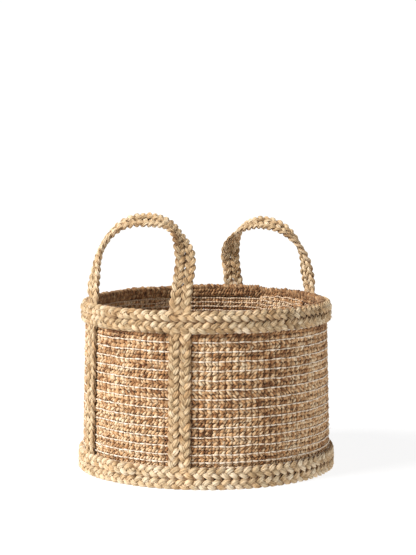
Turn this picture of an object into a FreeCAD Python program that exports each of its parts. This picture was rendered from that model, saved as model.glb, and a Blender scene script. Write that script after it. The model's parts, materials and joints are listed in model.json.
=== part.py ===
import FreeCAD, Part
import math
import os
import Sketcher

# A round storage basket of jute: a woven wall and base, two rows of plait sewn round the rim
# and round the foot, and two straps that run up the wall and over the rim as carrying handles.
# Millimetres, +Z up, the origin on the floor under the basket's centre. The handles stand at -X
# ("left") and +X ("right"), and their hinge lines run along Y.

SIZES = (
    # The woven tub
    ("basket_height", 248, "floor to the top of the rim"),
    ("wall_bottom_radius", 183, "outside of the wall at the floor"),
    ("wall_top_radius", 177, "outside of the wall at the rim"),
    ("wall_thickness", 6, "woven cloth"),
    ("wall_edge_drop", 4, "wall's top edge below the top of the rim"),
    ("base_lift", 2.5, "underside of the woven base above the floor"),
    ("base_thickness", 6, "woven base"),
    ("lap_thickness", 5, "inner layer where the wall's two ends overlap"),
    ("lap_angle", 20, "how far round the overlap reaches, in degrees"),
    ("cloth_gap", 0.2, "gap between neighbouring layers of cloth"),
    # The plaits round the rim and the foot
    ("plait_width", 15.5, "height of one row of plait"),
    ("plait_thickness", 9, "how far a row stands out from the wall"),
    ("row_gap", 0.2, "gap between two rows"),
    ("foot_flat", 0.8, "how much of the lowest row is pressed flat by the floor"),
    ("thread_radius", 0.9, "sewing thread"),
    # The straps on the wall
    ("strap_plait_width", 16.5, "width of each of a strap's two plaits"),
    ("strap_thickness", 8, "how far a strap stands out from the wall"),
    ("strap_edge_round", 3.5, "rounding of a strap plait's outer edges"),
    ("tongue_thickness", 3, "strap where the rows of plait press it flat"),
    ("tongue_gap", 0.4, "room left round a tongue"),
    # The handle loops
    ("cord_radius", 6.75, "each of the two plaits of a handle"),
    ("cord_gap", 0.2, "gap between the two plaits of a handle"),
    ("hinge_offset", 162, "hinge line from the basket's centre line"),
    ("hinge_gap", 0.5, "gap between a folded leg and the rim"),
    ("handle_lean", 13.5, "how far a handle leans in over the mouth, in degrees"),
    ("left_half_chord", 81.5, "half the distance between the left handle's legs"),
    ("left_straight", 48, "straight part of the left handle's legs"),
    ("left_shoulder", 68, "bend radius above the left handle's legs"),
    ("left_crown", 150, "bend radius of the left handle's top"),
    ("right_half_chord", 73, "half the distance between the right handle's legs"),
    ("right_straight", 33, "straight part of the right handle's legs"),
    ("right_shoulder", 67, "bend radius above the right handle's legs"),
    ("right_crown", 87, "bend radius of the right handle's top"),
)

# Where each handle stands, as a turn about Z from the -X side
SIDES = {"left": 0, "right": 180}

# The two legs of a handle and the two straps under them, by their side along Y
ENDS = {"front": -1, "back": 1}

# The two plaits of a strap, by their side of its middle: towards its partner strap or away
HALVES = {"inner": -1, "outer": 1}

# An edge's direction counts as upright when its Z part is at least this
UPRIGHT = 0.98

doc = FreeCAD.newDocument("Basket")
sizes = doc.addObject("Spreadsheet::Sheet", "Sizes")
for row, (alias, number, meaning) in enumerate(SIZES, start=1):
    sizes.set(f"A{row}", meaning)
    sizes.set(f"B{row}", str(number))
    sizes.setAlias(f"B{row}", alias)
doc.recompute()

nodes = {}


def size(name):
    """The expression that reads one driving dimension."""
    return f"Sizes.{name}"


def worked_out(expression):
    """The value of an expression now, as a plain number."""
    result = sizes.evalExpression(expression)
    return getattr(result, "Value", result)


# Heights and radii that several pieces share, as expressions of the driving dimensions
RIM_TOP = size("basket_height")
CORD_RADIUS = size("cord_radius")
ROW_STEP = f"({size('plait_width')} + {size('row_gap')})"
BASE_BAND_TOP = f"(2 * {size('plait_width')} + {size('row_gap')} - {size('foot_flat')})"
RIM_BAND_BOTTOM = f"({RIM_TOP} - 2 * {size('plait_width')} - {size('row_gap')})"
HINGE_HEIGHT = f"({RIM_TOP} + {CORD_RADIUS} + {size('hinge_gap')})"


def wall_radius(height):
    """Outside radius of the tapered wall at a height."""
    taper = f"({size('wall_bottom_radius')} - {size('wall_top_radius')})"
    return f"({size('wall_bottom_radius')} - {taper} * ({height}) / {RIM_TOP})"


# ---------------------------------------------------------------- sketch and feature helpers


def new_body(label):
    body = doc.addObject("PartDesign::Body", label)
    body.Label = label
    return body


def new_sketch(body, name, plane):
    """A sketch on one of the body's own origin planes."""
    sketch = body.newObject("Sketcher::SketchObject", name)
    support = [item for item in body.Origin.OriginFeatures if item.Role == plane][0]
    sketch.AttachmentSupport = (support, [""])
    sketch.MapMode = "FlatFace"
    return sketch


def bind(sketch, constraint, expression):
    """Add a constraint whose value follows an expression."""
    index = sketch.addConstraint(constraint)
    sketch.setExpression(f"Constraints[{index}]", expression)


def hold_point(sketch, item, point, across, up):
    """Hold one point of a sketch at its two distances from the origin."""
    bind(sketch, Sketcher.Constraint("DistanceX", -1, 1, item, point, worked_out(across)), across)
    bind(sketch, Sketcher.Constraint("DistanceY", -1, 1, item, point, worked_out(up)), up)


def draw_polygon(sketch, corners):
    """A closed outline of straight lines, each corner held by its two distances."""
    points = [FreeCAD.Vector(worked_out(across), worked_out(up), 0) for across, up in corners]
    for start, end in zip(points, points[1:] + points[:1]):
        sketch.addGeometry(Part.LineSegment(start, end))
    for item, (across, up) in enumerate(corners):
        before = (item - 1) % len(corners)
        sketch.addConstraint(Sketcher.Constraint("Coincident", before, 2, item, 1))
        hold_point(sketch, item, 1, across, up)


def draw_upright_slot(sketch, centre_across, centre_up, tall, thick):
    """A plait's section: two half circles joined by upright lines."""
    radius = f"({thick}) / 2"
    upper = f"{centre_up} + ({tall} - {thick}) / 2"
    lower = f"{centre_up} - ({tall} - {thick}) / 2"
    across, high, low, bend = [worked_out(item) for item in (centre_across, upper, lower, radius)]
    axis = FreeCAD.Vector(0, 0, 1)
    top = Part.Circle(FreeCAD.Vector(across, high, 0), axis, bend)
    bottom = Part.Circle(FreeCAD.Vector(across, low, 0), axis, bend)
    sketch.addGeometry(Part.ArcOfCircle(top, 0, math.pi))
    sketch.addGeometry(
        Part.LineSegment(FreeCAD.Vector(across - bend, high, 0), FreeCAD.Vector(across - bend, low, 0))
    )
    sketch.addGeometry(Part.ArcOfCircle(bottom, math.pi, 2 * math.pi))
    sketch.addGeometry(
        Part.LineSegment(FreeCAD.Vector(across + bend, low, 0), FreeCAD.Vector(across + bend, high, 0))
    )
    for item in range(4):
        sketch.addConstraint(Sketcher.Constraint("Tangent", item, 2, (item + 1) % 4, 1))
    for arc, up in ((0, upper), (2, lower)):
        hold_point(sketch, arc, 3, centre_across, up)
        bind(sketch, Sketcher.Constraint("Radius", arc, bend), radius)


def revolve(body, sketch, name, angle="360"):
    """Turn a sketch about the basket's centre line, half the angle to each side."""
    turned = body.newObject("PartDesign::Revolution", name)
    turned.Profile = sketch
    turned.ReferenceAxis = (sketch, ["V_Axis"])
    turned.Midplane = True
    turned.setExpression("Angle", angle)
    return turned


def pad_both_ways(body, sketch, name, width):
    pad = body.newObject("PartDesign::Pad", name)
    pad.Profile = sketch
    pad.Midplane = True
    pad.setExpression("Length", width)
    return pad


def turn_about_centre(body, angle):
    """Stand a body that was drawn on the +X side at another angle round the basket."""
    body.Placement = FreeCAD.Placement(FreeCAD.Vector(), FreeCAD.Rotation(FreeCAD.Vector(0, 0, 1), 1))
    body.setExpression("Placement.Rotation.Angle", angle)


# ---------------------------------------------------------------- the woven tub


def make_wall():
    """The tapered tube of cloth, with the second layer where its two ends overlap at +X."""
    body = new_body("woven_wall")
    foot = size("base_lift")
    edge = f"({RIM_TOP} - {size('wall_edge_drop')})"
    thick = size("wall_thickness")
    tube = new_sketch(body, "TubeSection", "XZ_Plane")
    draw_polygon(
        tube,
        (
            (wall_radius(foot), foot),
            (wall_radius(edge), edge),
            (f"{wall_radius(edge)} - {thick}", edge),
            (f"{wall_radius(foot)} - {thick}", foot),
        ),
    )
    revolve(body, tube, "Tube")
    inner = f"{thick} + {size('lap_thickness')}"
    shelf = f"({foot} + {size('base_thickness')} + {size('cloth_gap')})"
    lap = new_sketch(body, "LapSection", "XZ_Plane")
    draw_polygon(
        lap,
        (
            (f"{wall_radius(shelf)} - {thick} / 2", shelf),
            (f"{wall_radius(edge)} - {thick} / 2", edge),
            (f"{wall_radius(edge)} - ({inner})", edge),
            (f"{wall_radius(shelf)} - ({inner})", shelf),
        ),
    )
    revolve(body, lap, "Lap", size("lap_angle"))
    nodes["woven_wall"] = body


def make_base():
    """The woven disc that closes the bottom, just inside the wall."""
    top = f"({size('base_lift')} + {size('base_thickness')})"
    disc = doc.addObject("Part::Cylinder", "woven_base")
    disc.setExpression("Radius", f"{wall_radius(top)} - {size('wall_thickness')} - {size('cloth_gap')}")
    disc.setExpression("Height", size("base_thickness"))
    disc.setExpression("Placement.Base.z", size("base_lift"))
    nodes["woven_base"] = disc


# ---------------------------------------------------------------- the straps on the wall


def strap_angle(side, end):
    """Where a strap stands, from the places of its handle's hinge line and leg."""
    half_span = f"atan({size(side + '_half_chord')} / {size('hinge_offset')})"
    if side == "left":
        return f"(180 deg - {ENDS[end]} * {half_span})"
    return f"({ENDS[end]} * {half_span})"


def beside_wall(*offsets_and_heights):
    """Outline corners given by distance out from the wall and height."""
    return tuple((f"{wall_radius(up)} + {out}", up) for out, up in offsets_and_heights)


def make_passages():
    """The room under the rows of plait for the four flattened ends of each strap."""
    reach = f"({size('tongue_thickness')} + {size('tongue_gap')})"
    below = f"({size('cloth_gap')} / 4)"
    above = f"({RIM_TOP} + {size('plait_thickness')})"
    tools = []
    for side in SIDES:
        for end in ENDS:
            body = new_body(f"passage_{side}_{end}")
            sketch = new_sketch(body, "PassageSection", "XZ_Plane")
            into_wall = f"-{size('wall_thickness')} / 2"
            draw_polygon(
                sketch,
                beside_wall((into_wall, below), (reach, below), (reach, above), (into_wall, above)),
            )
            width = f"2 * {size('strap_plait_width')} + 2 * {size('tongue_gap')}"
            pad_both_ways(body, sketch, "Passage", width)
            turn_about_centre(body, strap_angle(side, end))
            tools.append(body)
    passages = doc.addObject("Part::MultiFuse", "strap_passages")
    passages.Shapes = tools
    return passages


def round_outer_edges(body, pad):
    """Round the two long outer edges of a strap plait."""
    doc.recompute()
    outside = worked_out(f"{wall_radius(RIM_BAND_BOTTOM)} + {size('strap_thickness')} / 2")
    long_edges = []
    for number, edge in enumerate(pad.Shape.Edges, start=1):
        upright = abs(edge.tangentAt(edge.FirstParameter).z) > UPRIGHT
        if upright and edge.CenterOfMass.x > outside and edge.Length > worked_out(RIM_TOP) / 2:
            long_edges.append(f"Edge{number}")
    rounding = body.newObject("PartDesign::Fillet", "RoundedEdges")
    rounding.Base = (pad, long_edges)
    rounding.setExpression("Radius", size("strap_edge_round"))


def make_strap_plait(side, end, half):
    """One plait of a strap: full thickness between the bands, a flat tongue under each."""
    name = f"{side}_{end}_strap_{half}_plait"
    body = new_body(name)
    snug = f"({size('cloth_gap')} / 2)"
    tongue = f"({snug} + {size('tongue_thickness')})"
    full = f"({snug} + {size('strap_thickness')})"
    low = f"({BASE_BAND_TOP} + {size('row_gap')})"
    high = f"({RIM_BAND_BOTTOM} - {size('row_gap')})"
    sketch = new_sketch(body, "StrapSection", "XZ_Plane")
    draw_polygon(
        sketch,
        beside_wall(
            (snug, size("base_lift")),
            (tongue, size("base_lift")),
            (tongue, low),
            (full, low),
            (full, high),
            (tongue, high),
            (tongue, RIM_TOP),
            (snug, RIM_TOP),
        ),
    )
    pad = pad_both_ways(body, sketch, "Strap", f"{size('strap_plait_width')} - {size('cloth_gap')}")
    round_outer_edges(body, pad)
    half_plait = f"asin({size('strap_plait_width')} / 2 / {size('wall_top_radius')})"
    away = ENDS[end] * HALVES[half] * (1 if side == "right" else -1)
    turn_about_centre(body, f"{strap_angle(side, end)} + {away} * {half_plait}")
    nodes[name] = body


def make_strap_thread(side, end):
    """The sewing thread in the groove between a strap's two plaits."""
    name = f"{side}_{end}_strap_thread"
    body = new_body(name)
    inner = f"({size('strap_thickness')} - {size('strap_edge_round')} / 2)"
    outer = f"({inner} + {size('thread_radius')})"
    low = f"({BASE_BAND_TOP} + {size('row_gap')})"
    high = f"({RIM_BAND_BOTTOM} - {size('row_gap')})"
    sketch = new_sketch(body, "ThreadSection", "XZ_Plane")
    draw_polygon(sketch, beside_wall((inner, low), (outer, low), (outer, high), (inner, high)))
    pad_both_ways(body, sketch, "Thread", size("thread_radius"))
    turn_about_centre(body, strap_angle(side, end))
    nodes[name] = body


# ---------------------------------------------------------------- the rows of plait


def ring_radius(height):
    """Centre radius of a row of plait that lies against the wall at a height."""
    return f"({wall_radius(height)} + {size('plait_thickness')} / 2 + {size('cloth_gap')} / 2)"


def make_plait_ring(name, centre, cutters):
    """One row of plait round the wall, with its passages for the straps."""
    body = new_body(f"{name}_ring")
    sketch = new_sketch(body, "PlaitSection", "XZ_Plane")
    draw_upright_slot(sketch, ring_radius(centre), centre, size("plait_width"), size("plait_thickness"))
    revolve(body, sketch, "Row")
    ring = doc.addObject("Part::Cut", name)
    ring.Base = body
    ring.Tool = cutters
    nodes[name] = ring


def make_ring_thread(name, between):
    """The sewing thread that lies in the groove between two rows of plait."""
    bend = f"({size('plait_thickness')} / 2)"
    reach = f"pow({bend} + {size('thread_radius')} + {size('cloth_gap')}; 2)"
    apart = f"pow({bend} + {size('row_gap')} / 4; 2)"
    thread = doc.addObject("Part::Torus", name)
    thread.setExpression("Radius1", f"{ring_radius(between)} + sqrt({reach} - {apart})")
    thread.setExpression("Radius2", size("thread_radius"))
    thread.setExpression("Placement.Base.z", between)
    nodes[name] = thread


def make_bands():
    """Two rows of plait round the rim and two round the foot, and their threads."""
    passages = make_passages()
    floor = doc.addObject("Part::Cylinder", "below_floor")
    floor.setExpression("Radius", f"{size('wall_bottom_radius')} + 2 * {size('plait_thickness')}")
    floor.setExpression("Height", size("plait_width"))
    floor.setExpression("Placement.Base.z", f"-{size('plait_width')}")
    foot_cutters = doc.addObject("Part::MultiFuse", "foot_cutters")
    foot_cutters.Shapes = [passages, floor]
    half_row = f"{size('plait_width')} / 2"
    lowest = f"({half_row} - {size('foot_flat')})"
    highest = f"({RIM_TOP} - {half_row})"
    make_plait_ring("base_lower_plait", lowest, foot_cutters)
    make_plait_ring("base_upper_plait", f"({lowest} + {ROW_STEP})", passages)
    make_plait_ring("rim_lower_plait", f"({highest} - {ROW_STEP})", passages)
    make_plait_ring("rim_upper_plait", highest, passages)
    make_ring_thread("base_band_thread", f"({lowest} + {ROW_STEP} / 2)")
    make_ring_thread("rim_band_thread", f"({highest} - {ROW_STEP} / 2)")


# ---------------------------------------------------------------- the handle loops


def draw_loop(sketch, half_chord, straight, shoulder, crown):
    """A handle's line: a straight leg, a shoulder bend, the wide crown, and back down."""
    foot, rise, bend, top = [worked_out(item) for item in (half_chord, straight, shoulder, crown)]
    turn = math.asin((foot - bend) / (top - bend))
    middle = rise - (top - bend) * math.cos(turn)
    axis = FreeCAD.Vector(0, 0, 1)
    left_bend = Part.Circle(FreeCAD.Vector(bend - foot, rise, 0), axis, bend)
    crown_bend = Part.Circle(FreeCAD.Vector(0, middle, 0), axis, top)
    right_bend = Part.Circle(FreeCAD.Vector(foot - bend, rise, 0), axis, bend)
    up, right = math.pi / 2, 0
    sketch.addGeometry(Part.LineSegment(FreeCAD.Vector(-foot, 0, 0), FreeCAD.Vector(-foot, rise, 0)))
    sketch.addGeometry(Part.ArcOfCircle(left_bend, up + turn, math.pi))
    sketch.addGeometry(Part.ArcOfCircle(crown_bend, up - turn, up + turn))
    sketch.addGeometry(Part.ArcOfCircle(right_bend, right, up - turn))
    sketch.addGeometry(Part.LineSegment(FreeCAD.Vector(foot, rise, 0), FreeCAD.Vector(foot, 0, 0)))
    for joint in ((0, 2, 1, 2), (1, 1, 2, 2), (2, 1, 3, 2), (3, 1, 4, 1)):
        sketch.addConstraint(Sketcher.Constraint("Tangent", *joint))
    sketch.addConstraint(Sketcher.Constraint("Vertical", 0))
    sketch.addConstraint(Sketcher.Constraint("Vertical", 4))
    sketch.addConstraint(Sketcher.Constraint("PointOnObject", 0, 1, -1))
    sketch.addConstraint(Sketcher.Constraint("Symmetric", 0, 1, 4, 2, -2))
    sketch.addConstraint(Sketcher.Constraint("Equal", 0, 4))
    sketch.addConstraint(Sketcher.Constraint("Equal", 1, 3))
    bind(sketch, Sketcher.Constraint("DistanceX", 0, 1, -1, 1, foot), half_chord)
    bind(sketch, Sketcher.Constraint("DistanceY", 0, 1, 0, 2, rise), straight)
    bind(sketch, Sketcher.Constraint("Radius", 1, bend), shoulder)
    bind(sketch, Sketcher.Constraint("Radius", 2, top), crown)


def stand_handle(body, side):
    """Put a loop drawn upright on the YZ plane on its hinge line, leaning in over the mouth."""
    turn = SIDES[side]
    lean = worked_out(size("handle_lean"))
    body.Placement = FreeCAD.Placement(FreeCAD.Vector(), FreeCAD.Rotation(turn, lean, 0))
    outward = "-" if side == "left" else ""
    body.setExpression("Placement.Base.x", f"{outward}{size('hinge_offset')}")
    body.setExpression("Placement.Base.z", HINGE_HEIGHT)


def make_loop(side, name, offset, radius, forward, round_ends):
    """One cord of a handle, offset from the loop's middle line, forward of its plane."""
    body = new_body(name)
    path = new_sketch(body, "LoopLine", "YZ_Plane")
    half_chord, straight, shoulder, crown = [
        size(f"{side}_{item}") for item in ("half_chord", "straight", "shoulder", "crown")
    ]
    foot = f"({half_chord} + {offset})"
    draw_loop(path, foot, straight, f"({shoulder} + {offset})", f"({crown} + {offset})")
    section = new_sketch(body, "CordSection", "XY_Plane")
    start = FreeCAD.Vector(0, -worked_out(foot), 0)
    section.addGeometry(Part.Circle(start, FreeCAD.Vector(0, 0, 1), worked_out(radius)))
    section.addConstraint(Sketcher.Constraint("PointOnObject", 0, 3, -2))
    bind(section, Sketcher.Constraint("DistanceY", 0, 3, -1, 1, worked_out(foot)), foot)
    bind(section, Sketcher.Constraint("Radius", 0, worked_out(radius)), radius)
    path.setExpression("AttachmentOffset.Base.z", forward)
    section.setExpression("AttachmentOffset.Base.x", forward)
    pipe = body.newObject("PartDesign::AdditivePipe", "Cord")
    pipe.Profile = section
    pipe.Spine = (path, [])
    if round_ends:
        add_round_ends(body, foot, radius)
    stand_handle(body, side)
    nodes[name] = body


def add_round_ends(body, foot, radius):
    """Close both legs with balls centred on the hinge line."""
    plane = [item for item in body.Origin.OriginFeatures if item.Role == "XY_Plane"][0]
    for name, sign in (("FrontEnd", "-"), ("BackEnd", "")):
        ball = body.newObject("PartDesign::AdditiveSphere", name)
        ball.AttachmentSupport = (plane, [""])
        ball.MapMode = "FlatFace"
        ball.setExpression("Radius", radius)
        ball.setExpression("AttachmentOffset.Base.y", f"{sign}{foot}")


def make_handle(side):
    """A handle: two plaited cords side by side, sewn together along the groove outside."""
    half_step = f"({CORD_RADIUS} + {size('cord_gap')} / 2)"
    make_loop(side, f"{side}_handle_outer_plait", half_step, CORD_RADIUS, "0", True)
    make_loop(side, f"{side}_handle_inner_plait", f"-{half_step}", CORD_RADIUS, "0", True)
    reach = f"pow({CORD_RADIUS} + {size('thread_radius')} + {size('cord_gap')} / 4; 2)"
    groove = f"-sqrt({reach} - pow({half_step}; 2))"
    make_loop(side, f"{side}_handle_thread", "0", size("thread_radius"), groove, False)


# ---------------------------------------------------------------- build, check and write


def check_everything():
    """Stop if any object failed or any piece isn't one valid solid."""
    doc.recompute()
    failed = [item.Label for item in doc.Objects if {"Invalid", "Error"} & set(item.State)]
    if failed:
        raise RuntimeError("failed to build: " + ", ".join(failed))
    for name, piece in nodes.items():
        shape = piece.Shape
        if shape.isNull() or not shape.isValid() or len(shape.Solids) != 1:
            raise RuntimeError(f"{name} isn't one valid solid")


def write_parts():
    os.makedirs("parts", exist_ok=True)
    for name, piece in nodes.items():
        piece.Label = name
        piece.Shape.exportStep(f"parts/{name}.step")
        box = piece.Shape.BoundBox
        print(f"{name:34s} {piece.Shape.Volume / 1000:8.1f} cm3  z {box.ZMin:7.2f} to {box.ZMax:7.2f}")


make_wall()
make_base()
make_bands()
for side in SIDES:
    for end in ENDS:
        for half in HALVES:
            make_strap_plait(side, end, half)
        make_strap_thread(side, end)
    make_handle(side)
check_everything()
write_parts()
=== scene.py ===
"""A round storage basket of braided and woven jute with two looped handles.

Everything is real geometry: each plait is three fluted strands, and the wall is rows of two-ply
jute yarn held by cotton weft and warp threads. Metres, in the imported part's own frame.
"""
import json
import math

import bpy
import numpy as np
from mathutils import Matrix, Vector


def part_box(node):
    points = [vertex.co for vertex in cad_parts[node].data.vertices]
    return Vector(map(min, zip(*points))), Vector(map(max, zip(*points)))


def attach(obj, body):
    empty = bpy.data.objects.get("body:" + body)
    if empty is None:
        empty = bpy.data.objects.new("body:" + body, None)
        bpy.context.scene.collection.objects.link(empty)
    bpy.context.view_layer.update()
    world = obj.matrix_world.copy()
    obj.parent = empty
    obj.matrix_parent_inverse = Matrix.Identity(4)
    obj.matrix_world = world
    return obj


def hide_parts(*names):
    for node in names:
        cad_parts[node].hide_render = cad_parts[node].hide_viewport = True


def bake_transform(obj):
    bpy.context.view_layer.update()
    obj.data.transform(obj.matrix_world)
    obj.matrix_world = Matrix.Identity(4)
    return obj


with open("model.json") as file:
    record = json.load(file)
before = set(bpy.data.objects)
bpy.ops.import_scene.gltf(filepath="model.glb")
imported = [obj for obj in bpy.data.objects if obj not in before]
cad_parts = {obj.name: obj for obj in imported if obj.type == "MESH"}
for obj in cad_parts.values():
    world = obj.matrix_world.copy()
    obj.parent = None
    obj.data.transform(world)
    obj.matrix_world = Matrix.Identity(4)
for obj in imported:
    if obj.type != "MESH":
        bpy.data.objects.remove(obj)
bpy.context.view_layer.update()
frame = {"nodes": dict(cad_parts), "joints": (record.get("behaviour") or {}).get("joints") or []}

MM = 0.001
TURN = 2 * math.pi
UP = np.array([0.0, 0.0, 1.0])
rng = np.random.default_rng(590)

# ------------------------------------------------------------------ places read from the frame

RIM_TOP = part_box("rim_upper_plait")[1].z
RIM_BAND_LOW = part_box("rim_lower_plait")[0].z
BASE_BAND_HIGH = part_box("base_upper_plait")[1].z
WALL_LOW, WALL_HIGH = (corner.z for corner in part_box("woven_wall"))
HINGES = {joint["child"]: joint["pos_m"] for joint in frame["joints"]}


def wall_node_radius(height):
    """Outside radius of the CAD wall near a height."""
    points = np.array([v.co for v in frame["nodes"]["woven_wall"].data.vertices])
    near = points[np.abs(points[:, 2] - height) < 1 * MM]
    return float(np.hypot(near[:, 0], near[:, 1]).max())


WALL_LOW_RADIUS = wall_node_radius(WALL_LOW)
WALL_HIGH_RADIUS = wall_node_radius(WALL_HIGH)


def wall_radius(height):
    """Outside radius of the tapered wall at a height, which may be an array."""
    share = (height - WALL_LOW) / (WALL_HIGH - WALL_LOW)
    return WALL_LOW_RADIUS + (WALL_HIGH_RADIUS - WALL_LOW_RADIUS) * share


# ------------------------------------------------------------------ lines

WAVES = 4


def wander(along, wavelength, amount):
    """Smooth random variation about zero, at distances along a yarn."""
    total = np.zeros_like(along)
    for _ in range(WAVES):
        length = wavelength * rng.uniform(0.6, 1.9)
        total += np.sin(TURN * (along / length + rng.random()))
    return total * amount / 2


def smoothstep(value):
    """0 for values up to 0, 1 from 1 on, and an easy curve between."""
    value = np.clip(value, 0, 1)
    return value * value * (3 - 2 * value)


def unit(vectors):
    """Rows of vectors, each brought to length 1."""
    return vectors / np.linalg.norm(vectors, axis=1, keepdims=True)


def radials(angle):
    """Level unit vectors pointing away from the axis at an array of angles."""
    return np.stack([np.cos(angle), np.sin(angle), np.zeros_like(angle)], axis=1)


def distances(points):
    """How far along a line each of its points is."""
    return np.concatenate([[0], np.cumsum(np.linalg.norm(np.diff(points, axis=0), axis=1))])


def headings(points, closed=False, along=None):
    """Unit directions along a line, or round a closed ring. along is the distance at each point."""
    if closed:
        return unit(np.roll(points, -1, axis=0) - np.roll(points, 1, axis=0))
    if along is None:
        along = np.arange(len(points))
    return unit(np.gradient(points, along, axis=0))


def resample(points, step, *others):
    """A line cut into even steps: distances and points, then the other per-point values."""
    lengths = distances(points)
    even = np.linspace(0, lengths[-1], int(lengths[-1] / step) + 1)

    def carried(values):
        if values.ndim == 1:
            return np.interp(even, lengths, values)
        return np.stack([np.interp(even, lengths, column) for column in values.T], axis=1)

    return (even, carried(points), *[carried(values) for values in others])


def soften(values, width=17):
    """Values along a line, each averaged with its neighbours over a window of points."""
    if values.ndim == 2:
        return np.stack([soften(column, width) for column in values.T], axis=1)
    window = np.hanning(width + 2)[1:-1]
    return np.convolve(np.pad(values, width // 2, mode="edge"), window / window.sum(), mode="valid")


# ------------------------------------------------------------------ tubes


def tube_quads(rings, sides, closed):
    """Faces round a tube, as point numbers, one ring after another."""
    spans = rings if closed else rings - 1
    low = np.arange(spans)[:, None] * sides
    high = ((np.arange(spans) + 1) % rings)[:, None] * sides
    here = np.arange(sides)[None, :]
    there = (here + 1) % sides
    return np.stack([low + here, low + there, high + there, high + here], axis=-1).reshape(-1, 4)


def tube_uvs(lengths, girth, sides):
    """Fibre coordinates of the faces round a tube: metres along it and round it."""
    shift_along, shift_round = rng.random(2)
    u = lengths + shift_along
    v = np.arange(sides + 1) / sides * girth + shift_round
    corners = ((u[:-1], v[:-1]), (u[:-1], v[1:]), (u[1:], v[1:]), (u[1:], v[:-1]))
    grids = [np.stack(np.meshgrid(*corner, indexing="ij"), axis=-1) for corner in corners]
    return np.stack(grids, axis=2).reshape(-1, 2)


def tube_caps(rings, sides):
    """Faces that close the two ends of an open tube."""
    strip = np.array([[j, j + 1, sides - 2 - j, sides - 1 - j] for j in range(sides // 2 - 1)])
    return np.vstack([strip[:, ::-1], strip + (rings - 1) * sides])


class YarnMesh:
    """Collects tubes and turns them into one object with fibre coordinates and tones."""

    def __init__(self):
        self.points, self.faces, self.uvs, self.tones = [], [], [], []
        self.count = 0

    def add_tube(self, centres, across, out, half_across, half_out, sides, tone, closed=False,
                 lobes=0, lobe_depth=0.0, lobe_turn=0.08, painted_back_shade=None):
        """One tube of elliptical section.

        Each centre has its own section directions across and out, half sizes along them, and
        tone, which is shade, depth and hue; depth is painted shade, low and so darker where real
        shade would fall among other yarns. With lobes, the tube is a bundle of that many fibre
        yarns, turning once in lobe_turn. The back depth is the painted shade on the side away from
        out."""
        rings = len(centres)
        along = distances(centres)
        full_length = along[-1] + np.linalg.norm(centres[0] - centres[-1])
        angle = np.tile(np.arange(sides) * TURN / sides, (rings, 1))
        bulge = np.ones((rings, sides))
        if lobes:
            bulge -= lobe_depth * (1 - np.abs(np.sin(lobes / 2 * angle)) ** 0.8)
            length = full_length if closed else along[-1]
            turns = max(1, round(length / abs(lobe_turn))) * np.sign(lobe_turn)
            angle = angle + (TURN * turns * along / length + rng.random() * TURN)[:, None]
        wide = (half_across[:, None] * bulge * np.cos(angle))[..., None]
        thick = (half_out[:, None] * bulge * np.sin(angle))[..., None]
        points = centres[:, None, :] + across[:, None, :] * wide + out[:, None, :] * thick
        quads = tube_quads(rings, sides, closed)
        girth = TURN * float(np.mean(half_across + half_out)) / 2
        uv = tube_uvs(np.append(along, full_length) if closed else along, girth, sides)
        if not closed:
            caps = tube_caps(rings, sides)
            quads = np.vstack([quads, caps])
            uv = np.vstack([uv, np.zeros((caps.size, 2))])
        tones = np.repeat(tone[:, None, :], sides, axis=1)
        # painted shade on the side away from out
        if painted_back_shade is not None:
            front = np.clip(0.5 + np.sin(angle), 0, 1)
            tones[:, :, 1] = tones[:, :, 1] * front + painted_back_shade[:, None] * (1 - front)
        self.points.append(points.reshape(-1, 3))
        self.faces.append(quads + self.count)
        self.uvs.append(uv)
        self.tones.append(tones.reshape(-1, 3))
        self.count += rings * sides

    def build(self, name, material):
        """Makes the object, smooth shaded."""
        points, faces = np.vstack(self.points), np.vstack(self.faces)
        mesh = bpy.data.meshes.new(name)
        mesh.vertices.add(len(points))
        mesh.vertices.foreach_set("co", points.astype(np.float32).ravel())
        mesh.loops.add(faces.size)
        mesh.loops.foreach_set("vertex_index", faces.astype(np.int32).ravel())
        mesh.polygons.add(len(faces))
        mesh.polygons.foreach_set("loop_start", np.arange(0, faces.size, 4, dtype=np.int32))
        mesh.update(calc_edges=True)
        mesh.polygons.foreach_set("use_smooth", np.ones(len(faces), dtype=bool))
        layer = mesh.uv_layers.new(name="fibre")
        layer.data.foreach_set("uv", np.vstack(self.uvs).astype(np.float32).ravel())
        tones = np.hstack([np.vstack(self.tones), np.ones((len(points), 1))])
        attribute = mesh.color_attributes.new(name="tone", type="FLOAT_COLOR", domain="POINT")
        attribute.data.foreach_set("color", tones.astype(np.float32).ravel())
        mesh.materials.append(material)
        piece = bpy.data.objects.new(name, mesh)
        bpy.context.scene.collection.objects.link(piece)
        return piece


def finish_piece(mesh, name, material, slot, *nodes, body="basket"):
    """Builds a piece that rides on one body and stands for those nodes of the CAD part."""
    piece = mesh.build(name, materials[material])
    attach(piece, body)
    if nodes:
        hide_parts(*nodes)


# ------------------------------------------------------------------ materials


def srgb(red, green, blue):
    """A colour given as 0 to 255 display values, as linear light."""
    def linear(value):
        value /= 255
        return value / 12.92 if value <= 0.04045 else ((value + 0.055) / 1.055) ** 2.4
    return (linear(red), linear(green), linear(blue), 1.0)


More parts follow.
